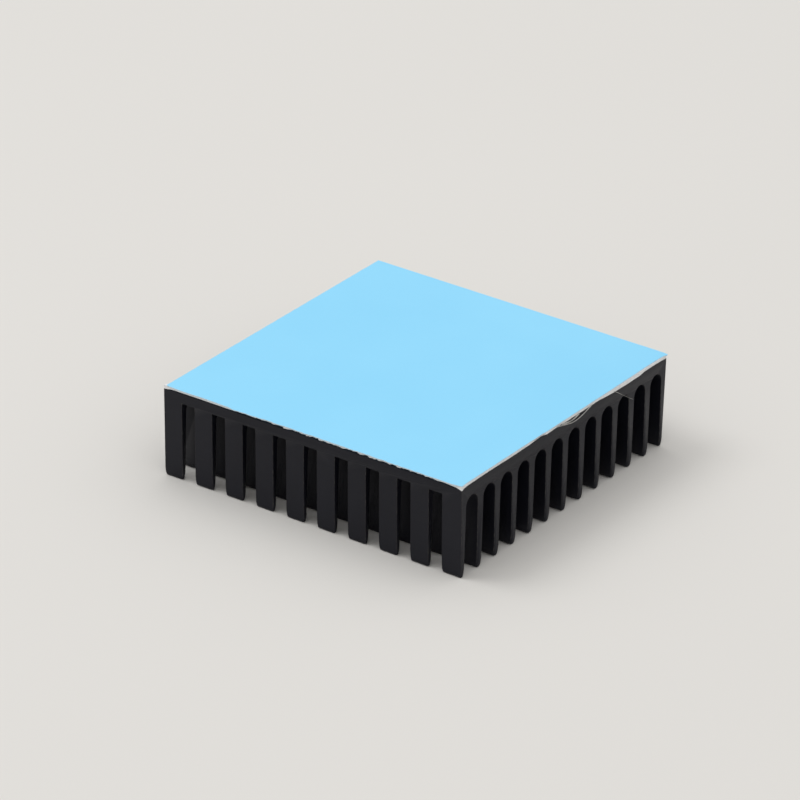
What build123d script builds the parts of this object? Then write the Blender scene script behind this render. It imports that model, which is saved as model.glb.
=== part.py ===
from build123d import *
from math import cos, radians, sin, tan
import os

# Pin-fin heat sink for an electronic component, with its thermal tape and release liner.
#
# The aluminium body is an extruded comb profile. A gang saw cuts it across, so that each
# fin becomes a row of pins. It lies on its pin tips with the flat base up, as it is
# supplied: the base carries a double-sided thermal tape, and a release liner covers the
# tape until the heat sink is stuck to its chip.
#
# Frame: millimetres, +Z up. X runs along the extrusion and Y across the fins. The origin
# is the centre of the body's footprint, on the plane of the pin tips.

# Body: overall size and the metal left in the base
BODY_LENGTH = 40.0            # along the extrusion
BODY_WIDTH = 40.0             # across the fins
BODY_HEIGHT = 11.0            # pin tips to base
BASE_OVER_SLOT = 1.45         # metal between the apex of a slot and the base's face
BASE_OVER_CUT = 1.35          # metal between the floor of a saw cut and the base's face
BASE_CORNER_RADIUS = 0.2      # long corners of the extrusion, rounded by the die

# Fins of the profile, which taper towards full-round tips
FIN_PITCH = 3.27              # nearest spacing, evened out over the width
FIN_ROOT_THICKNESS = 1.06     # inner fins, level with the centres of the slot roots
OUTER_FIN_THICKNESS = 0.91    # first slot to the body's side, at the same level
SLOT_DRAFT = 0.75             # degrees, each side of a slot
OUTER_FACE_DRAFT = 1.6        # degrees, outer faces of the two outer fins

# The round roots and tips are drawn in short flats, because every pin repeats them
ROOT_FLAT_COUNT = 12
TIP_FLAT_COUNT = 6

# Saw cuts across the fins, which leave the pins
CUT_WIDTH = 1.75
CUT_PITCH = 4.15
FIRST_PIN_LENGTH = 2.45       # from the -X end to the first cut

# Thermal tape on the base, laid by hand and a little off centre
TAPE_THICKNESS = 0.25
TAPE_CORNER_RADIUS = 0.4
TAPE_MARGIN_BACK = 0.35       # bare base along the -X end
TAPE_MARGIN_FRONT = 0.03      # bare base along the +X end
TAPE_MARGIN_LEFT = 0.12       # bare base along the -Y side
TAPE_OVERHANG_RIGHT = 0.15    # past the base along the +Y side

# Release liner on the tape
LINER_THICKNESS = 0.1
LINER_SETBACK = 0.05          # liner edge inside the tape edge


def slot_count():
    """Number of whole slots nearest to the wanted pitch."""
    return round((BODY_WIDTH + FIN_ROOT_THICKNESS - 2 * OUTER_FIN_THICKNESS) / FIN_PITCH)


def slot_pitch():
    """Slot spacing that leaves the outer fins their thickness."""
    return (BODY_WIDTH + FIN_ROOT_THICKNESS - 2 * OUTER_FIN_THICKNESS) / slot_count()


def slot_radius():
    """Radius of a slot's full-round root."""
    return (slot_pitch() - FIN_ROOT_THICKNESS) / 2


def slot_centres():
    """Y of each slot's centre line."""
    first = -(slot_count() - 1) * slot_pitch() / 2
    return [first + index * slot_pitch() for index in range(slot_count())]


def round_stretch(middle, radius, start, stop, flats):
    """Points of a round stretch about its middle, from one angle to another in degrees."""
    angles = [radians(start + (stop - start) * step / flats) for step in range(flats + 1)]
    return [(middle[0] + radius * cos(angle), middle[1] + radius * sin(angle)) for angle in angles]


def slot_root(centre):
    """Round root of a slot, from its -Y side over the apex to its +Y side."""
    radius = slot_radius()
    middle = (centre, BODY_HEIGHT - BASE_OVER_SLOT - radius)
    return round_stretch(middle, radius, 180 - SLOT_DRAFT, SLOT_DRAFT, ROOT_FLAT_COUNT)


def fin_tip(left_top, left_draft, right_top, right_draft):
    """Full-round tip between two drafted sides, from -Y to +Y.

    Each side is given by its upper end and its draft in degrees. The tip is the circle
    that touches both sides and the plane of the pin tips.
    """
    left_foot = left_top[0] + left_top[1] * tan(radians(left_draft))
    right_foot = right_top[0] - right_top[1] * tan(radians(right_draft))
    left_share = tan(radians(45 - left_draft / 2))
    right_share = tan(radians(45 - right_draft / 2))
    radius = (right_foot - left_foot) / (left_share + right_share)
    middle = (left_foot + radius * left_share, radius)
    return round_stretch(middle, radius, 180 + left_draft, 360 - right_draft, TIP_FLAT_COUNT)


def comb_outline():
    """Points of the fins and slots between the upper ends of the two outer faces."""
    half = BODY_WIDTH / 2
    face_top = BODY_HEIGHT - BASE_CORNER_RADIUS
    roots = [slot_root(centre) for centre in slot_centres()]
    left_sides = [((-half, face_top), OUTER_FACE_DRAFT)]
    left_sides += [(root[-1], SLOT_DRAFT) for root in roots]
    right_sides = [(root[0], SLOT_DRAFT) for root in roots]
    right_sides += [((half, face_top), OUTER_FACE_DRAFT)]
    points = [left_sides[0][0]]
    for left, right, root in zip(left_sides, right_sides, roots + [[right_sides[-1][0]]]):
        points += fin_tip(*left, *right) + root
    return points


def extrusion_profile():
    """The comb profile across the fins, closed by the base with its rounded corners."""
    outline = comb_outline()
    inset = BODY_WIDTH / 2 - BASE_CORNER_RADIUS
    with BuildSketch(Plane.YZ) as sketch:
        with BuildLine():
            Polyline(*outline)
            TangentArc(outline[-1], (inset, BODY_HEIGHT), tangent=(0, 1))
            Line((inset, BODY_HEIGHT), (-inset, BODY_HEIGHT))
            TangentArc((-inset, BODY_HEIGHT), outline[0], tangent=(-1, 0))
        make_face()
    return sketch.sketch


def cut_centres():
    """X of each saw cut's centre; a cut is made only if it leaves a last pin."""
    first = -BODY_LENGTH / 2 + FIRST_PIN_LENGTH + CUT_WIDTH / 2
    last_pin = CUT_PITCH - CUT_WIDTH
    room = BODY_LENGTH - FIRST_PIN_LENGTH - CUT_WIDTH - last_pin
    return [first + index * CUT_PITCH for index in range(int(room / CUT_PITCH) + 1)]


def heat_sink_body():
    """The extruded comb with its saw cuts: base plate and pins in one piece."""
    blank = extrude(extrusion_profile(), BODY_LENGTH / 2, both=True)
    depth = BODY_HEIGHT - BASE_OVER_CUT
    cutter = Box(CUT_WIDTH, 2 * BODY_WIDTH, 2 * depth)
    return blank - [Pos(centre, 0, 0) * cutter for centre in cut_centres()]


def sheet(thickness, underside, setback):
    """A thin sheet on the base, set back by the same amount from all the tape's edges."""
    back = -BODY_LENGTH / 2 + TAPE_MARGIN_BACK + setback
    front = BODY_LENGTH / 2 - TAPE_MARGIN_FRONT - setback
    left = -BODY_WIDTH / 2 + TAPE_MARGIN_LEFT + setback
    right = BODY_WIDTH / 2 + TAPE_OVERHANG_RIGHT - setback
    outline = RectangleRounded(front - back, right - left, TAPE_CORNER_RADIUS - setback)
    place = Pos((front + back) / 2, (left + right) / 2, underside)
    return extrude(place * outline, thickness)


def thermal_tape():
    """Double-sided tape that holds the heat sink to its chip."""
    return sheet(TAPE_THICKNESS, BODY_HEIGHT, 0)


def release_liner():
    """Film that covers the tape until it is used."""
    return sheet(LINER_THICKNESS, BODY_HEIGHT + TAPE_THICKNESS, LINER_SETBACK)


os.makedirs("parts", exist_ok=True)
export_step(heat_sink_body(), "parts/heat_sink_body.step")
export_step(thermal_tape(), "parts/thermal_tape.step")
export_step(release_liner(), "parts/release_liner.step")
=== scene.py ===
"""Looks of a black pin-fin heat sink with its thermal tape and blue release liner.

The object's lengths are written in millimetres and turned into metres by mm(). The floor's
and the lamp's are in metres. The frame is the CAD frame: +Z up, X along the extrusion, Y
across the fins, pin tips on the floor.
"""

import logging
from dataclasses import dataclass, field
from enum import Enum
from math import cos, radians, sin

import bmesh
import bpy
from mathutils import Matrix, Vector, noise


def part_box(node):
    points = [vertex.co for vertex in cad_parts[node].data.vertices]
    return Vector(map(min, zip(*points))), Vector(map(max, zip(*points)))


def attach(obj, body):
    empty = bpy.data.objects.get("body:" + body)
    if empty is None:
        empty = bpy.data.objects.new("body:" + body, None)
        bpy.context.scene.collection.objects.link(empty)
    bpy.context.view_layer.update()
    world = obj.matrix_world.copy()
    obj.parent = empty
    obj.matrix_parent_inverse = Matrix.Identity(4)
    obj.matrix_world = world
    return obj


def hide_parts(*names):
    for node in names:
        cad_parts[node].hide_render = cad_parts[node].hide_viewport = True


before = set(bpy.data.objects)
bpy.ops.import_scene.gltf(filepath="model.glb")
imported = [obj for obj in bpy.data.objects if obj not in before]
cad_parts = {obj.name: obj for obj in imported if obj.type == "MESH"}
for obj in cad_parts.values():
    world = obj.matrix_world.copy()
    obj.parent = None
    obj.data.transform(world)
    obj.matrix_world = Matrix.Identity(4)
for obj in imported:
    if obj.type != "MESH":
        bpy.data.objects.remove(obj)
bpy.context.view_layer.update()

LOG = logging.getLogger("heat_sink")
ROOT = "root"
# Marks the broken edges, which get rubbed metal and a painted highlight.
HIGHLIGHT_AND_WEAR_LAYER = "edge_wear_and_highlight"
NOISE_LOW, NOISE_HIGH = 0.3, 0.7
Colour = tuple[float, float, float]
Place = tuple[float, float, float]
Value = float | Colour | bpy.types.NodeSocket


def mm(value: float) -> float:
    """Millimetres in metres."""
    return value / 1000.0


def in_mm(value: float) -> float:
    """Metres in millimetres."""
    return value * 1000.0


def ease(share: float) -> float:
    """Turns an even share of a way, from 0 to 1, into one with a soft start and end."""
    return share * share * (3 - 2 * share)


class Side(Enum):
    """The four edges of the base, named as the photograph shows them."""

    FRONT_RIGHT = "+X"
    BACK_LEFT = "-X"
    FRONT_LEFT = "-Y"
    BACK_RIGHT = "+Y"


BODY_LOW, BODY_HIGH = (Vector(corner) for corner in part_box("heat_sink_body"))
SIDES = {
    Side.FRONT_RIGHT: (Vector((1, 0, 0)), BODY_HIGH.x),
    Side.BACK_LEFT: (Vector((-1, 0, 0)), -BODY_LOW.x),
    Side.FRONT_LEFT: (Vector((0, -1, 0)), -BODY_LOW.y),
    Side.BACK_RIGHT: (Vector((0, 1, 0)), BODY_HIGH.y),
}


class Canvas:
    """A node tree with short calls for adding and joining nodes."""

    def __init__(self, tree: bpy.types.NodeTree) -> None:
        """Keeps the tree and clears it.

        Args:
            tree: The tree of a material, a world or a group.
        """
        self.tree = tree
        tree.nodes.clear()

    def add(self, kind: str, **settings: object) -> bpy.types.Node:
        """Adds a node.

        Args:
            kind: The node's type name.
            settings: Properties of the node, or values of inputs by name.

        Returns:
            The node.
        """
        node = self.tree.nodes.new(kind)
        for name, value in settings.items():
            label = name.replace("_", " ").title()
            if label in node.inputs:
                node.inputs[label].default_value = value
            else:
                setattr(node, name, value)
        return node

    def link(self, source: bpy.types.NodeSocket, target: bpy.types.NodeSocket) -> None:
        """Joins an output to an input."""
        self.tree.links.new(source, target)

    def math(self, operation: str, *values: Value) -> bpy.types.NodeSocket:
        """Adds a math node.

        Args:
            operation: The operation's name.
            values: Numbers or sockets, in the order of the node's inputs.

        Returns:
            The node's output.
        """
        node = self.add("ShaderNodeMath", operation=operation)
        for socket, value in zip(node.inputs, values):
            self._feed(value, socket)
        return node.outputs[0]

    def blend(self, share: Value, first: Value, second: Value) -> bpy.types.NodeSocket:
        """Mixes two colours.

        Args:
            share: Share of the second colour, a number or a socket.
            first: Colour or socket.
            second: Colour or socket.

        Returns:
            The mixed colour.
        """
        node = self.add("ShaderNodeMix", data_type="RGBA")
        for index, value in ((0, share), (6, first), (7, second)):
            self._feed(value, node.inputs[index])
        return node.outputs[2]

    def spread(
        self, source: bpy.types.NodeSocket, low: float = 0.0, high: float = 1.0
    ) -> bpy.types.NodeSocket:
        """Maps the middle of a noise to a range.

        Args:
            source: A noise from 0 to 1.
            low: Value at the noise's low end.
            high: Value at its high end.

        Returns:
            The mapped value.
        """
        node = self.add("ShaderNodeMapRange")
        self.link(source, node.inputs["Value"])
        for index, value in enumerate((NOISE_LOW, NOISE_HIGH, low, high), start=1):
            node.inputs[index].default_value = value
        return node.outputs[0]

    def place(self, tree: bpy.types.NodeTree, **values: float) -> bpy.types.Node:
        """Puts a node group into the tree.

        Args:
            tree: The group.
            values: Values of the group's inputs, with _ for a space.

        Returns:
            The group node.
        """
        node = self.add("ShaderNodeGroup", node_tree=tree)
        for label, value in values.items():
            node.inputs[label.replace("_", " ")].default_value = value
        return node

    def facing(self, axis: str) -> bpy.types.NodeSocket:
        """Tells how squarely the surface faces along one of the object's axes.

        Args:
            axis: X, Y or Z.

        Returns:
            1 where the surface faces along the axis, either way, down to 0 across it.
        """
        normal = self.add("ShaderNodeTexCoord").outputs["Normal"]
        split = self.add("ShaderNodeSeparateXYZ")
        self.link(normal, split.inputs[0])
        return self.math("ABSOLUTE", split.outputs[axis])

    def emboss(
        self,
        shader: bpy.types.Node,
        height: bpy.types.NodeSocket,
        strength: float,
        depth: float,
    ) -> None:
        """Raises a pattern from the surface of a shader.

        Args:
            shader: The Principled shader.
            height: The pattern, from 0 to 1.
            strength: Share of the effect.
            depth: Height of the pattern in metres.
        """
        bump = self.add("ShaderNodeBump", strength=strength, distance=depth)
        self.link(height, bump.inputs["Height"])
        self.link(bump.outputs[0], shader.inputs["Normal"])

    def _feed(self, value: Value, socket: bpy.types.NodeSocket) -> None:
        """Links a socket, or sets a number or a colour.

        Args:
            value: What the input takes.
            socket: The input.
        """
        if isinstance(value, bpy.types.NodeSocket):
            self.link(value, socket)
        elif isinstance(value, tuple):
            socket.default_value = (*value, 1.0)
        else:
            socket.default_value = value


class GroupKit:
    """The shader node groups that more than one finish uses, each built once."""

    @staticmethod
    def _start(
        name: str, inputs: dict[str, float], outputs: tuple[str, ...]
    ) -> tuple[Canvas, bpy.types.Node, bpy.types.Node]:
        """Makes an empty group with float sockets.

        Args:
            name: The group's name.
            inputs: Input names with their starting values.
            outputs: Output names.

        Returns:
            The canvas, the group's input node and its output node.
        """
        tree = bpy.data.node_groups.new(name, "ShaderNodeTree")
        canvas = Canvas(tree)
        for label, value in inputs.items():
            socket = tree.interface.new_socket(label, in_out="INPUT", socket_type="NodeSocketFloat")
            socket.default_value = value
        for label in outputs:
            tree.interface.new_socket(label, in_out="OUTPUT", socket_type="NodeSocketFloat")
        return canvas, canvas.add("NodeGroupInput"), canvas.add("NodeGroupOutput")

    @classmethod
    def streaks(cls) -> bpy.types.NodeTree:
        """Fine lines drawn along one direction, as a die or a saw leaves them.

        Returns:
            A group that gives Lines, from 0 to 1, on Object coordinates.
        """
        name = "drawn_lines"
        if name in bpy.data.node_groups:
            return bpy.data.node_groups[name]
        inputs = {"Along X": 1.0, "Along Y": 1.0, "Along Z": 1.0, "Detail": 3.0}
        canvas, start, end = cls._start(name, inputs, ("Lines",))
        place = canvas.add("ShaderNodeTexCoord")
        scale = canvas.add("ShaderNodeCombineXYZ")
        for index, label in enumerate(("Along X", "Along Y", "Along Z")):
            canvas.link(start.outputs[label], scale.inputs[index])
        stretched = canvas.add("ShaderNodeVectorMath", operation="MULTIPLY")
        canvas.link(place.outputs["Object"], stretched.inputs[0])
        canvas.link(scale.outputs[0], stretched.inputs[1])
        grain = canvas.add("ShaderNodeTexNoise", scale=1.0, roughness=0.6)
        canvas.link(stretched.outputs[0], grain.inputs["Vector"])
        canvas.link(start.outputs["Detail"], grain.inputs["Detail"])
        canvas.link(grain.outputs["Fac"], end.inputs["Lines"])
        return canvas.tree

    @classmethod
    def mottle(cls) -> bpy.types.NodeTree:
        """Soft patches over fine grain.

        Returns:
            A group that gives Patches and Grain, each from 0 to 1, on Object coordinates.
        """
        name = "soft_mottle"
        if name in bpy.data.node_groups:
            return bpy.data.node_groups[name]
        inputs = {"Patch Scale": 100.0, "Grain Scale": 2000.0}
        canvas, start, end = cls._start(name, inputs, ("Patches", "Grain"))
        place = canvas.add("ShaderNodeTexCoord")
        clouds = (("Patch Scale", "Patches", 2.0), ("Grain Scale", "Grain", 4.0))
        for source, target, detail in clouds:
            cloud = canvas.add("ShaderNodeTexNoise", detail=detail, roughness=0.55)
            canvas.link(place.outputs["Object"], cloud.inputs["Vector"])
            canvas.link(start.outputs[source], cloud.inputs["Scale"])
            canvas.link(cloud.outputs["Fac"], end.inputs[target])
        return canvas.tree


def new_material(name: str) -> tuple[bpy.types.Material, Canvas, bpy.types.Node]:
    """Starts a material with one Principled shader.

    Args:
        name: The material's name.

    Returns:
        The material, its canvas and the shader node.
    """
    material = bpy.data.materials.new(name)
    material.use_nodes = True
    canvas = Canvas(material.node_tree)
    shader = canvas.add("ShaderNodeBsdfPrincipled")
    output = canvas.add("ShaderNodeOutputMaterial")
    canvas.link(shader.outputs[0], output.inputs["Surface"])
    return material, canvas, shader


@dataclass(frozen=True)
class BlackAnodising:
    """Satin black anodising over extruded and sawn aluminium, with a paler colour on the broken
    edges that is partly rubbed metal and partly a painted highlight.

    The lines are given as their number per metre along X, Y and Z.
    """

    deep: Colour = (0.0042, 0.0046, 0.0084)
    pale: Colour = (0.0054, 0.0060, 0.0104)
    # Paler edge colour: partly rubbed metal, partly a painted highlight where the edges catch
    # light.
    rubbed_and_highlight: Colour = (0.105, 0.102, 0.09)
    roughness: tuple[float, float] = (0.43, 0.50)
    specular: float = 0.25
    tint: Colour = (0.95, 0.94, 1.0)
    # How much of the painted highlight with rubbed metal the chamfers take, at least, and how
    # patchy it is.
    edge_wear_and_highlight: float = 0.6
    least_highlight_and_wear: float = 0.3
    highlight_and_wear_contrast: float = 2.5
    die_lines: Place = (30.0, 9000.0, 9000.0)
    saw_lines: Place = (900.0, 1200.0, 9000.0)
    sawn_above: float = 0.9
    grain_share: float = 0.5
    line_strength: float = 0.2
    line_depth: float = mm(0.003)

    def build(self) -> bpy.types.Material:
        """Makes the material.

        Returns:
            The material; it reads the piece's attribute that marks the broken edges, where it
            paints a highlight along with rubbed metal.
        """
        material, canvas, shader = new_material("black_anodising")
        cloud = canvas.place(GroupKit.mottle(), Patch_Scale=160.0, Grain_Scale=9000.0)
        tone = canvas.blend(canvas.spread(cloud.outputs["Patches"]), self.deep, self.pale)
        base = canvas.blend(self._highlight_and_wear(canvas), tone, self.rubbed_and_highlight)
        canvas.link(base, shader.inputs["Base Color"])
        lines = self._lines(canvas)
        canvas.link(canvas.spread(lines, *self.roughness), shader.inputs["Roughness"])
        grain = canvas.math("MULTIPLY", cloud.outputs["Grain"], self.grain_share)
        height = canvas.math("ADD", lines, grain)
        canvas.emboss(shader, height, self.line_strength, self.line_depth)
        shader.inputs["Metallic"].default_value = 0.0
        shader.inputs["Specular IOR Level"].default_value = self.specular
        shader.inputs["Specular Tint"].default_value = (*self.tint, 1.0)
        return material

    def _lines(self, canvas: Canvas) -> bpy.types.NodeSocket:
        """Draws the saw's lines on the faces across X and the die's lines on all others.

        Args:
            canvas: The material's canvas.

        Returns:
            The lines, from 0 to 1.
        """
        drawn = self._streaks(canvas, self.die_lines)
        sawn = self._streaks(canvas, self.saw_lines)
        saw_face = canvas.math("GREATER_THAN", canvas.facing("X"), self.sawn_above)
        die_face = canvas.math("SUBTRACT", 1.0, saw_face)
        drawn_part = canvas.math("MULTIPLY", die_face, drawn)
        sawn_part = canvas.math("MULTIPLY", saw_face, sawn)
        return canvas.math("ADD", drawn_part, sawn_part)

    def _streaks(self, canvas: Canvas, density: Place) -> bpy.types.NodeSocket:
        """Places one set of lines.

        Args:
            canvas: The material's canvas.
            density: Lines per metre along X, Y and Z.

        Returns:
            The lines, from 0 to 1.
        """
        x, y, z = density
        lines = canvas.place(GroupKit.streaks(), Along_X=x, Along_Y=y, Along_Z=z, Detail=2.0)
        return lines.outputs["Lines"]

    def _highlight_and_wear(self, canvas: Canvas) -> bpy.types.NodeSocket:
        """Paints the broken edges paler in patches: partly rubbed metal, partly a painted highlight
        where the edges catch light.

        Args:
            canvas: The material's canvas.

        Returns:
            The share of the paler edge colour, rubbed metal and painted highlight, from 0 to 1.
        """
        worn_and_lit = canvas.add("ShaderNodeAttribute", attribute_name=HIGHLIGHT_AND_WEAR_LAYER)
        glint_and_rub_patches = canvas.place(GroupKit.mottle(), Patch_Scale=2200.0, Grain_Scale=9000.0)
        patches = canvas.spread(glint_and_rub_patches.outputs["Patches"], self.least_highlight_and_wear)
        patchy = canvas.math("POWER", patches, self.highlight_and_wear_contrast)
        share = canvas.math("MULTIPLY", worn_and_lit.outputs["Fac"], patchy)
        return canvas.math("MULTIPLY", share, self.edge_wear_and_highlight)


@dataclass(frozen=True)
class LinerFilm:
    """Sky-blue release film with a faint orange peel, paler on its cut edges; that paleness is
    partly the film's cut and partly painted light that lifts the shaded edge faces.
    """

    low: Colour = (0.268, 0.686, 0.975)
    high: Colour = (0.284, 0.706, 0.99)
    # Cut-edge colour: partly the film's pale cut, partly painted light that lifts faces standing in
    # shade.
    cut: Colour = (0.58, 0.72, 0.82)
    cut_below: float = 0.5
    roughness: tuple[float, float] = (0.42, 0.5)
    specular: float = 0.3

    def build(self) -> bpy.types.Material:
        """Makes the material.

        Returns:
            The material; it takes faces that stand steeper than 60 degrees as cut edges, whose
            paler colour is partly painted light.
        """
        material, canvas, shader = new_material("blue_liner_film")
        cloud = canvas.place(GroupKit.mottle(), Patch_Scale=70.0, Grain_Scale=1500.0)
        edge = canvas.math("LESS_THAN", canvas.facing("Z"), self.cut_below)
        film = canvas.blend(canvas.spread(cloud.outputs["Patches"]), self.low, self.high)
        canvas.link(canvas.blend(edge, film, self.cut), shader.inputs["Base Color"])
        grain = cloud.outputs["Grain"]
        canvas.link(canvas.spread(grain, *self.roughness), shader.inputs["Roughness"])
        canvas.emboss(shader, grain, strength=0.12, depth=mm(0.004))
        shader.inputs["Specular IOR Level"].default_value = self.specular
        return material


@dataclass(frozen=True)
class TapeAdhesive:
    """Off-white acrylic adhesive, cut and a little dusty at its edge."""

    clean: Colour = (0.88, 0.89, 0.90)
    soiled: Colour = (0.52, 0.51, 0.50)
    most_soiled: float = 0.45
    roughness: tuple[float, float] = (0.45, 0.7)

    def build(self) -> bpy.types.Material:
        """Makes the material.

        Returns:
            The material.
        """
        material, canvas, shader = new_material("tape_adhesive")
        cloud = canvas.place(GroupKit.mottle(), Patch_Scale=900.0, Grain_Scale=6000.0)
        patches = cloud.outputs["Patches"]
        share = canvas.spread(patches, high=self.most_soiled)
        canvas.link(canvas.blend(share, self.clean, self.soiled), shader.inputs["Base Color"])
        rough = canvas.spread(cloud.outputs["Grain"], *self.roughness)
        canvas.link(rough, shader.inputs["Roughness"])
        canvas.emboss(shader, patches, strength=0.4, depth=mm(0.02))
        return material


@dataclass(frozen=True)
class PulledFilm:
    """Greyish carrier film, pulled out of the tape's cut edge."""

    dull: Colour = (0.2, 0.195, 0.19)
    milky: Colour = (0.5, 0.49, 0.47)
    roughness: tuple[float, float] = (0.3, 0.5)

    def build(self) -> bpy.types.Material:
        """Makes the material.

        Returns:
            The material.
        """
        material, canvas, shader = new_material("pulled_film")
        cloud = canvas.place(GroupKit.mottle(), Patch_Scale=1500.0, Grain_Scale=7000.0)
        share = canvas.spread(cloud.outputs["Patches"])
        canvas.link(canvas.blend(share, self.dull, self.milky), shader.inputs["Base Color"])
        grain = cloud.outputs["Grain"]
        canvas.link(canvas.spread(grain, *self.roughness), shader.inputs["Roughness"])
        canvas.emboss(shader, grain, strength=0.3, depth=mm(0.01))
        return material


@dataclass(frozen=True)
class StudioFloor:
    """Pale warm grey table top."""

    colour: Colour = (0.735, 0.720, 0.695)
    speck: Colour = (0.72, 0.705, 0.68)
    roughness: float = 0.9
    specular: float = 0.1

    def build(self) -> bpy.types.Material:
        """Makes the material.

        Returns:
            The material.
        """
        material, canvas, shader = new_material("studio_floor")
        cloud = canvas.place(GroupKit.mottle(), Patch_Scale=6.0, Grain_Scale=900.0)
        share = canvas.spread(cloud.outputs["Patches"])
        canvas.link(canvas.blend(share, self.colour, self.speck), shader.inputs["Base Color"])
        shader.inputs["Roughness"].default_value = self.roughness
        shader.inputs["Specular IOR Level"].default_value = self.specular
        return material


def show(name: str, shape: bpy.types.ID) -> bpy.types.Object:
    """Puts a mesh, a camera or a lamp into the scene, at the origin.

    Args:
        name: The object's name.
        shape: Its mesh, camera or light.

    Returns:
        The object.
    """
    thing = bpy.data.objects.new(name, shape)
    bpy.context.scene.collection.objects.link(thing)
    return thing


def to_object(
    name: str, form: bmesh.types.BMesh, material: bpy.types.Material
) -> bpy.types.Object:
    """Turns a bmesh into an object at the origin.

    Args:
        name: The object's name.
        form: The shape, in metres, freed here.
        material: Its finish.

    Returns:
        The object.
    """
    mesh = bpy.data.meshes.new(name)
    form.to_mesh(mesh)
    form.free()
    mesh.materials.append(material)
    return show(name, mesh)


def smooth_below(piece: bpy.types.Object, degrees: float) -> None:
    """Shades smooth across edges that turn less than an angle."""
    piece.data.shade_smooth()
    piece.data.set_sharp_from_angle(angle=radians(degrees))


def bevel(
    form: bmesh.types.BMesh,
    corners: list[bmesh.types.BMVert] | list[bmesh.types.BMEdge],
    affect: str,
    offset: float,
    segments: int,
) -> list[bmesh.types.BMFace]:
    """Rounds or chamfers some corners.

    Args:
        form: The shape.
        corners: The vertices or edges to bevel.
        affect: VERTICES or EDGES, as the corners are.
        offset: Distance from the corner to the bevel's edge, in metres.
        segments: Number of flats across the bevel.

    Returns:
        The new faces.
    """
    made = bmesh.ops.bevel(
        form,
        geom=corners,
        offset=offset,
        offset_type="OFFSET",
        affect=affect,
        segments=segments,
        profile=0.5,
        clamp_overlap=True,
        material=-1,
    )
    return made["faces"]


def score(
    form: bmesh.types.BMesh, place: Vector, facing: Vector, slack: float = mm(0.000001)
) -> None:
    """Adds edges where a plane meets the shape, and leaves the shape as it is.

    Args:
        form: The shape.
        place: A point of the plane, in metres.
        facing: The direction that the plane faces.
        slack: How near a vertex counts as on the plane.
    """
    bmesh.ops.bisect_plane(
        form,
        geom=form.verts[:] + form.edges[:] + form.faces[:],
        dist=slack,
        plane_co=place,
        plane_no=facing,
    )


def fit(piece: bpy.types.Object, slot: str, *nodes: str) -> bpy.types.Object:
    """Puts a piece on the body, hides the CAD nodes that it stands for and logs them.

    Args:
        piece: The finished piece.
        slot: The record's material slot; not used.
        nodes: CAD nodes that it replaces.

    Returns:
        The piece.
    """
    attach(piece, ROOT)
    if nodes:
        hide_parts(*nodes)
    faces = len(piece.data.polygons)
    LOG.info("%s: %d faces, stands for %s", piece.name, faces, nodes or "nothing")
    return piece


@dataclass
class HeatSinkBody:
    """Extruded base plate and sawn pins, with broken edges.

    The stay levels are heights that get a ring of edges, so that a round end doesn't tint
    the flat side beside it.
    """

    node: str = "heat_sink_body"
    edge_break: float = mm(0.04)
    tip_break: float = mm(0.26)
    tip_level: float = mm(0.46)
    tip_flats: int = 3
    broken_from: float = 50.0
    smooth_to: float = 35.0
    flat_within: float = 1.0
    stay_levels: tuple[float, ...] = (mm(0.47), mm(8.4), mm(10.72))
    weld: float = mm(0.0005)
    finish: BlackAnodising = field(default_factory=BlackAnodising)

    def build(self) -> bpy.types.Object:
        """Breaks the edges of a merged copy of the CAD body.

        Returns:
            The piece that replaces the CAD body.
        """
        form = bmesh.new()
        form.from_mesh(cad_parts[self.node].data)
        bmesh.ops.remove_doubles(form, verts=form.verts, dist=self.weld)
        bmesh.ops.dissolve_limit(
            form, angle_limit=radians(self.flat_within), verts=form.verts[:], edges=form.edges[:]
        )
        self._break_edges(form)
        for level in self.stay_levels:
            score(form, Vector((0.0, 0.0, level)), Vector((0.0, 0.0, 1.0)))
        piece = to_object("body_with_pins", form, self.finish.build())
        smooth_below(piece, self.smooth_to)
        return fit(piece, "black_anodised", self.node)

    def _break_edges(self, form: bmesh.types.BMesh) -> None:
        """Rounds the sawn ends of the tips, chamfers the other corners and marks the chamfers for
        rubbed metal and a painted highlight.

        Args:
            form: The body.
        """
        worn_and_lit = form.faces.layers.float.new(HIGHLIGHT_AND_WEAR_LAYER)
        bevel(form, self._corners(form, True), "EDGES", self.tip_break, self.tip_flats)
        # The chamfers get the painted highlight along with rubbed metal.
        for face in bevel(form, self._corners(form, False), "EDGES", self.edge_break, 1):
            face[worn_and_lit] = 1.0

    def _corners(self, form: bmesh.types.BMesh, at_tips: bool) -> list[bmesh.types.BMEdge]:
        """Finds the sharp corners of the body.

        Args:
            form: The body.
            at_tips: Whether to find those below the tip level or all others.

        Returns:
            The edges.
        """
        limit = radians(self.broken_from)
        sharp = [edge for edge in form.edges if edge.calc_face_angle(0.0) > limit]
        return [
            edge for edge in sharp
            if (max(end.co.z for end in edge.verts) < self.tip_level) == at_tips
        ]


@dataclass(frozen=True)
class Profile:
    """A smooth course through a few places and their values, in millimetres."""

    points: tuple[tuple[float, float], ...]

    def at(self, place: float) -> float:
        """The value at a place.

        Args:
            place: Place in metres; beyond the ends the end value holds.

        Returns:
            The value in metres.
        """
        spot = in_mm(place)
        if spot <= self.points[0][0]:
            return mm(self.points[0][1])
        for (start, low), (stop, high) in zip(self.points, self.points[1:]):
            if spot <= stop:
                return mm(low + (high - low) * ease((spot - start) / (stop - start)))
        return mm(self.points[-1][1])


def even(value: float) -> Profile:
    """A profile with one value, in millimetres."""
    return Profile(((0.0, value),))


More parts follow.
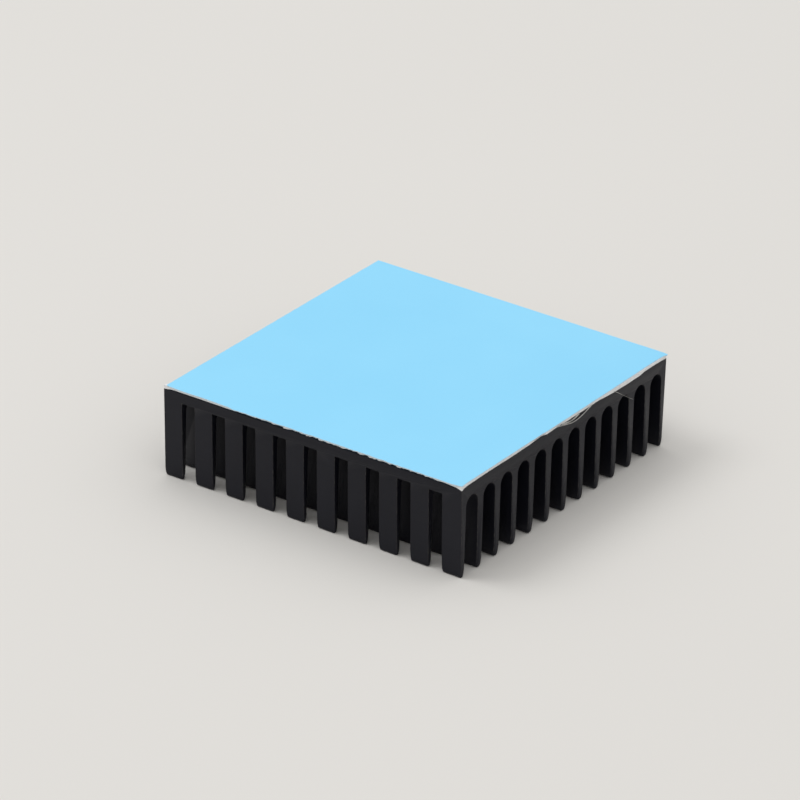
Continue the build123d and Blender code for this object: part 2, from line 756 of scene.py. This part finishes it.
@dataclass(frozen=True)
class CutEdge:
    """One cut edge of a sheet: where it runs, how far it droops and how rough it is."""

    inset: Profile
    droop: Profile = even(0.0)
    rag: Profile = even(0.0)
    tooth: float = mm(0.5)
    gain: float = 1.6
    fade: float = 1.0
    fineness: float = 2.0
    octaves: int = 3

    def course(self, along: float, seed: float) -> float:
        """Inset from the body's edge at a place along it, with the cut's roughness.

        Args:
            along: Place along the edge in metres.
            seed: Makes each edge different.

        Returns:
            The inset in metres; it is negative where the sheet overhangs.
        """
        spot = Vector((along / self.tooth, seed, 0.5))
        jag = self.gain * noise.fractal(spot, self.fade, self.fineness, self.octaves)
        return self.inset.at(along) + self.rag.at(along) * max(-1.0, min(1.0, jag))


@dataclass
class CutSheet:
    """A thin sheet on the base whose four cut edges each take their own course.

    The rows are distances from the edges where the sheet is scored, so that only its
    outermost strip droops.
    """

    name: str
    node: str
    slot: str
    edges: dict[Side, CutEdge]
    corner: float
    step: float
    front_corner: float = mm(0.08)
    corner_flats: int = 5
    rows: tuple[float, ...] = (mm(0.45), mm(0.9), mm(1.6), mm(3.0))
    slack: float = mm(0.001)
    seed_step: float = 7.0
    smooth_to: float = 40.0

    def build(self, material: bpy.types.Material) -> bpy.types.Object:
        """Makes the sheet at the height of the CAD sheet that it stands for.

        Args:
            material: The sheet's finish.

        Returns:
            The piece.
        """
        low, high = (Vector(corner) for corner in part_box(self.node))
        form = self._blank(low.z)
        self._follow_edges(form)
        raised = bmesh.ops.extrude_face_region(form, geom=form.faces[:], use_keep_orig=True)
        lifted = [item for item in raised["geom"] if isinstance(item, bmesh.types.BMVert)]
        bmesh.ops.translate(form, verts=lifted, vec=(0.0, 0.0, high.z - low.z))
        bmesh.ops.recalc_face_normals(form, faces=form.faces[:])
        piece = to_object(self.name, form, material)
        smooth_below(piece, self.smooth_to)
        return fit(piece, self.slot, self.node)

    def _blank(self, level: float) -> bmesh.types.BMesh:
        """A square of the body's size with rounded corners, scored in rows along its edges.

        Args:
            level: Its height in metres.

        Returns:
            The shape, with its rim cut into short edges.
        """
        form = bmesh.new()
        half = SIDES[Side.FRONT_RIGHT][1]
        bmesh.ops.create_grid(form, x_segments=1, y_segments=1, size=half)
        bmesh.ops.translate(form, vec=(0.0, 0.0, level), verts=form.verts[:])
        front = max(form.verts, key=lambda vert: vert.co.x - vert.co.y)
        others = [vert for vert in form.verts if vert is not front]
        bevel(form, [front], "VERTICES", self.front_corner, self.corner_flats)
        bevel(form, others, "VERTICES", self.corner, self.corner_flats)
        for out, reach in SIDES.values():
            for row in self.rows:
                score(form, out * (reach - row), out)
        rim = [edge for edge in form.edges if edge.is_boundary]
        cuts = {edge: int(edge.calc_length() / self.step) for edge in rim}
        for count in sorted(set(cuts.values()) - {0}):
            alike = [edge for edge in rim if cuts[edge] == count]
            bmesh.ops.bisect_edges(form, edges=alike, cuts=count)
        return form

    def _follow_edges(self, form: bmesh.types.BMesh) -> None:
        """Moves the rim along each edge's course, and lets it droop.

        Args:
            form: The flat sheet.
        """
        strip = self.rows[0]
        rim = {vert for edge in form.edges if edge.is_boundary for vert in edge.verts}
        for point in form.verts:
            start = point.co.copy()
            for index, (side, (out, reach)) in enumerate(SIDES.items()):
                away = reach - start.dot(out)
                if away > strip + self.slack:
                    continue
                along = start.y if out.x else start.x
                share = 1.0 - away / strip
                edge = self.edges[side]
                if point in rim:
                    point.co -= out * edge.course(along, self.seed_step * index) * share
                point.co.z -= edge.droop.at(along) * share


@dataclass
class TapeLip:
    """Adhesive squeezed over the edge of the base, as a thin curtain down its side.

    The path gives x, y and the depth below the base's face, in millimetres.
    """

    name: str
    path: tuple[Place, ...]
    thickness: float = mm(0.04)
    step: float = mm(0.1)
    wobble: float = mm(0.015)
    waves: float = 2500.0
    smooth_to: float = 50.0

    def build(self, material: bpy.types.Material) -> bpy.types.Object:
        """Draws the curtain along its path.

        Args:
            material: The adhesive.

        Returns:
            The piece.
        """
        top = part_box("thermal_tape")[1][2] - self.thickness
        face = BODY_HIGH.z
        form = bmesh.new()
        course = self._course()
        x, y, depth = course[0]
        edges = [form.edges.new((form.verts.new((x, y, top)), form.verts.new((x, y, face))))]
        hung = [(edges[0].verts[1], depth)]
        for (x0, y0, _), (x1, y1, depth) in zip(course, course[1:]):
            made = bmesh.ops.extrude_edge_only(form, edges=edges)["geom"]
            edges = [item for item in made if isinstance(item, bmesh.types.BMEdge)]
            ends = [item for item in made if isinstance(item, bmesh.types.BMVert)]
            bmesh.ops.translate(form, verts=ends, vec=(x1 - x0, y1 - y0, 0.0))
            hung.append((min(ends, key=lambda end: end.co.z), depth))
        for vert, depth in hung:
            vert.co.z -= depth + self.wobble * noise.noise(vert.co * self.waves)
        bmesh.ops.recalc_face_normals(form, faces=form.faces[:])
        bmesh.ops.solidify(form, geom=form.faces[:], thickness=self.thickness)
        bmesh.ops.recalc_face_normals(form, faces=form.faces[:])
        piece = to_object(self.name, form, material)
        smooth_below(piece, self.smooth_to)
        return fit(piece, "adhesive_tape")

    def _course(self) -> list[Place]:
        """Follows the path in even steps.

        Returns:
            Places with x, y and depth in metres; the depths are eased.
        """
        course = []
        for (x0, y0, d0), (x1, y1, d1) in zip(self.path, self.path[1:]):
            length = mm(((x1 - x0) ** 2 + (y1 - y0) ** 2) ** 0.5)
            count = max(1, round(length / self.step))
            for index in range(count):
                share = index / count
                x = x0 + (x1 - x0) * share
                y = y0 + (y1 - y0) * share
                course.append((mm(x), mm(y), mm(d0 + (d1 - d0) * ease(share))))
        x, y, depth = self.path[-1]
        course.append((mm(x), mm(y), mm(depth)))
        return course


@dataclass
class Strand:
    """A thread of tape film, drawn as a smooth tube through a few points."""

    name: str
    radius: float
    points: tuple[Place, ...]

    def build(self, material: bpy.types.Material) -> bpy.types.Object:
        """Makes the tube as a mesh.

        Args:
            material: Its finish.

        Returns:
            The piece.
        """
        curve = bpy.data.curves.new(self.name, "CURVE")
        curve.dimensions = "3D"
        line = curve.splines.new("NURBS")
        line.points.add(len(self.points) - 1)
        for point, place in zip(line.points, self.points):
            point.co = (*(mm(value) for value in place), 1.0)
        line.order_u = 3
        line.use_endpoint_u = True
        line.resolution_u = 8
        curve.bevel_depth = self.radius
        curve.bevel_resolution = 1
        curve.use_fill_caps = True
        drawn = bpy.data.objects.new(self.name + "_line", curve)
        mesh = bpy.data.meshes.new_from_object(drawn)
        bpy.data.objects.remove(drawn)
        mesh.name = self.name
        mesh.materials.clear()
        mesh.materials.append(material)
        mesh.shade_smooth()
        return fit(show(self.name, mesh), "adhesive_tape")


@dataclass(frozen=True)
class StudioCamera:
    """The photograph's viewpoint."""

    azimuth: float = 34.804
    elevation: float = 26.898
    roll: float = 1.201
    distance: float = mm(665.9)
    aside: float = mm(-1.806)
    above: float = mm(1.733)
    aim_height: float = mm(5.5)
    lens: float = 269.35

    def build(self) -> None:
        """Adds the camera and makes it the scene's own."""
        turn, tilt, roll = (radians(angle) for angle in (self.azimuth, self.elevation, self.roll))
        back = Vector((sin(turn) * cos(tilt), -cos(turn) * cos(tilt), sin(tilt)))
        right = Vector((cos(turn), sin(turn), 0.0))
        up = back.cross(right)
        place = back * self.distance + right * self.aside + up * self.above
        place.z += self.aim_height
        rolled_right = right * cos(roll) + up * sin(roll)
        rolled_up = up * cos(roll) - right * sin(roll)
        data = bpy.data.cameras.new("camera")
        data.lens = self.lens
        data.sensor_width = 36.0
        data.clip_start = 0.01
        data.clip_end = 50.0
        camera = show("camera", data)
        axes = Matrix((rolled_right, rolled_up, back)).transposed().to_4x4()
        camera.matrix_world = Matrix.Translation(place) @ axes
        bpy.context.scene.camera = camera


@dataclass(frozen=True)
class Lamp:
    """A soft area lamp aimed at the object. Its place and size are in metres."""

    name: str
    place: Place
    size: float
    power: float

    def build(self) -> None:
        """Adds the lamp."""
        data = bpy.data.lights.new(self.name, "AREA")
        data.shape = "DISK"
        data.size = self.size
        data.energy = self.power
        lamp = show(self.name, data)
        lamp.location = self.place
        lamp.rotation_euler = Vector(self.place).to_track_quat("Z", "Y").to_euler()


@dataclass
class Studio:
    """Floor, sky light, lamp and camera."""

    floor_reach: float = 6.0
    sky: Colour = (1.0, 0.995, 0.985)
    horizon: float = 0.395
    zenith_gain: float = 0.95
    zenith_power: float = 2.0
    backdrop: Colour = (0.72, 0.70, 0.67)
    lamp: Lamp = Lamp("key_lamp", place=(-0.5, -0.25, 0.78), size=0.5, power=2.0)
    camera: StudioCamera = StudioCamera()

    def build(self) -> None:
        """Sets the whole stage."""
        self._floor()
        self._sky()
        self.lamp.build()
        self.camera.build()
        bpy.context.scene.view_settings.view_transform = "Standard"

    def _floor(self) -> None:
        """A plain floor under the pin tips."""
        form = bmesh.new()
        bmesh.ops.create_grid(form, x_segments=1, y_segments=1, size=self.floor_reach)
        to_object("floor", form, StudioFloor().build())

    def _sky(self) -> None:
        """Light from above, with the backdrop's colour where the camera sees past the floor."""
        world = bpy.data.worlds.new("studio_sky")
        world.use_nodes = True
        bpy.context.scene.world = world
        canvas = Canvas(world.node_tree)
        light = canvas.add("ShaderNodeBackground", color=(*self.sky, 1.0))
        direction = canvas.add("ShaderNodeTexCoord").outputs["Generated"]
        split = canvas.add("ShaderNodeSeparateXYZ")
        canvas.link(direction, split.inputs[0])
        upward = canvas.math("MAXIMUM", split.outputs["Z"], 0.0)
        height = canvas.math("POWER", upward, self.zenith_power)
        strength = canvas.math("MULTIPLY_ADD", height, self.zenith_gain, self.horizon)
        canvas.link(strength, light.inputs["Strength"])
        shown = canvas.add("ShaderNodeBackground", color=(*self.backdrop, 1.0), strength=1.0)
        path = canvas.add("ShaderNodeLightPath").outputs
        seen = canvas.math("MAXIMUM", path["Is Camera Ray"], path["Is Transmission Ray"])
        mix = canvas.add("ShaderNodeMixShader")
        output = canvas.add("ShaderNodeOutputWorld")
        canvas.link(seen, mix.inputs[0])
        canvas.link(light.outputs[0], mix.inputs[1])
        canvas.link(shown.outputs[0], mix.inputs[2])
        canvas.link(mix.outputs[0], output.inputs["Surface"])


def tape_slab() -> CutSheet:
    """The tape, flush on the front left up to a step and set back after it.

    Returns:
        The sheet with its four cut edges.
    """
    edges = {
        Side.FRONT_RIGHT: CutEdge(
            Profile((
                (-19.9, 0.0), (-18.1, 0.06), (-15.0, 0.1), (-10.6, 0.07), (-7.5, 0.1),
                (-4.6, 0.22), (-3.7, 0.04), (-1.8, 0.08), (0.0, 0.04), (6.6, 0.04), (8.2, 0.0),
            )),
            rag=even(0.015),
        ),
        Side.BACK_LEFT: CutEdge(Profile(((-19.95, 0.0), (-19.3, 0.37))), rag=even(0.02)),
        Side.FRONT_LEFT: CutEdge(
            Profile((
                (-18.0, 0.0), (-15.0, 0.025), (-10.75, 0.02), (-10.6, 0.13), (16.0, 0.135),
                (17.4, 0.14), (19.4, 0.02), (20.0, 0.0),
            )),
            rag=Profile(((-10.75, 0.012), (-10.6, 0.14), (16.0, 0.12), (17.5, 0.01))),
            tooth=mm(0.45),
        ),
        Side.BACK_RIGHT: CutEdge(even(-0.13), rag=even(0.02)),
    }
    return CutSheet(
        "tape_slab", "thermal_tape", "adhesive_tape", edges, corner=mm(0.3), step=mm(0.1)
    )


def liner_film() -> CutSheet:
    """The blue film, a little short on the front right and over the edge on the front left.

    Returns:
        The sheet with its four cut edges.
    """
    edges = {
        Side.FRONT_RIGHT: CutEdge(
            Profile((
                (-20.0, 0.02), (-19.0, 0.1), (-4.5, 0.11), (-3.8, 0.05), (8.0, 0.055),
                (12.0, 0.07), (17.0, 0.1), (19.2, 0.06), (20.1, -0.1),
            )),
            droop=Profile(((18.0, 0.0), (20.1, 0.05))),
            rag=even(0.012),
        ),
        Side.BACK_LEFT: CutEdge(even(0.4), rag=even(0.02)),
        Side.FRONT_LEFT: CutEdge(
            Profile((
                (-20.0, 0.08), (-19.2, -0.1), (-17.0, -0.17), (-14.5, -0.1), (-11.0, -0.16),
                (-10.3, -0.3), (-9.5, -0.3), (-8.8, -0.2), (-7.9, -0.28), (-7.0, -0.18),
                (-5.6, -0.12), (1.0, -0.1), (17.2, -0.11), (18.6, -0.15), (19.4, -0.06),
                (20.0, 0.03),
            )),
            droop=Profile(((-11.0, 0.0), (-10.4, 0.02), (17.0, 0.02), (19.0, 0.0))),
            rag=Profile(((-10.8, 0.01), (-10.4, 0.05), (17.0, 0.04), (18.5, 0.005))),
            tooth=mm(0.6),
        ),
        Side.BACK_RIGHT: CutEdge(
            Profile(((15.0, -0.1), (20.0, -0.16))),
            droop=Profile(((17.0, 0.0), (20.0, 0.04))),
            rag=even(0.01),
        ),
    }
    return CutSheet(
        "liner_film", "release_liner", "liner_film", edges, corner=mm(0.12), step=mm(0.2)
    )


def lips() -> list[TapeLip]:
    """Adhesive folded over the front corner, the left corner and the front right edge.

    Returns:
        The three curtains, each a little proud of the body's sides.
    """
    proud = 0.012
    side = in_mm(BODY_HIGH.x) + proud
    turn = 19.96
    front_corner = (
        (19.2, -side, 0.0), (19.5, -side, 0.05), (19.75, -side, 0.12), (turn, -side, 0.2),
        (side, -turn, 0.2), (side, -19.7, 0.06), (side, -19.3, 0.0),
    )
    left_corner = (
        (-side, -19.5, 0.0), (-side, -turn, 0.17), (-turn, -side, 0.17),
        (-19.5, -side, 0.12), (-19.0, -side, 0.02), (-18.6, -side, 0.0),
    )
    right_edge = (
        (side, 6.9, 0.0), (side, 8.2, 0.08), (side, 9.4, 0.16), (side, 11.0, 0.17),
        (side, 12.0, 0.2), (side, 13.4, 0.18), (side, 14.3, 0.18), (side, 15.7, 0.04),
        (side, 17.4, 0.03), (side, 18.4, 0.05), (side, 19.9, 0.12),
    )
    return [
        TapeLip("front_corner_lip", front_corner),
        TapeLip("left_corner_lip", left_corner),
        TapeLip("right_edge_lip", right_edge),
    ]


def loose_strands() -> list[Strand]:
    """Threads of tape film that hang from the edge on the front right.

    Returns:
        The four threads.
    """
    return [
        Strand(
            "hanging_strand", mm(0.055),
            ((20.03, -1.9, 11.14), (20.05, -1.3, 11.02), (20.08, -0.3, 10.79), (20.12, 1.1, 10.5),
             (20.12, 2.2, 10.55), (20.1, 3.2, 10.7), (20.06, 4.1, 10.92), (20.03, 4.9, 11.08)),
        ),
        Strand(
            "inner_strand", mm(0.08),
            ((20.02, -1.0, 11.04), (20.04, 0.0, 10.88), (20.05, 0.9, 10.78), (20.04, 1.7, 10.84),
             (20.02, 2.4, 11.02)),
        ),
        Strand(
            "long_filament", mm(0.032),
            ((20.02, 9.3, 10.97), (20.05, 9.75, 10.74), (20.06, 10.3, 10.38), (20.05, 10.9, 9.96)),
        ),
        Strand(
            "filament_tail", mm(0.016),
            ((20.05, 10.85, 10.0), (20.03, 12.1, 9.14), (20.02, 13.3, 8.4)),
        ),
    ]


def main() -> None:
    """Builds the object and its stage."""
    logging.basicConfig(level=logging.INFO, format="%(name)s: %(message)s")
    Studio().build()
    HeatSinkBody().build()
    adhesive = TapeAdhesive().build()
    tape_slab().build(adhesive)
    liner_film().build(LinerFilm().build())
    for lip in lips():
        lip.build(adhesive)
    film = PulledFilm().build()
    for strand in loose_strands():
        strand.build(film)


if __name__ == "__main__":
    main()
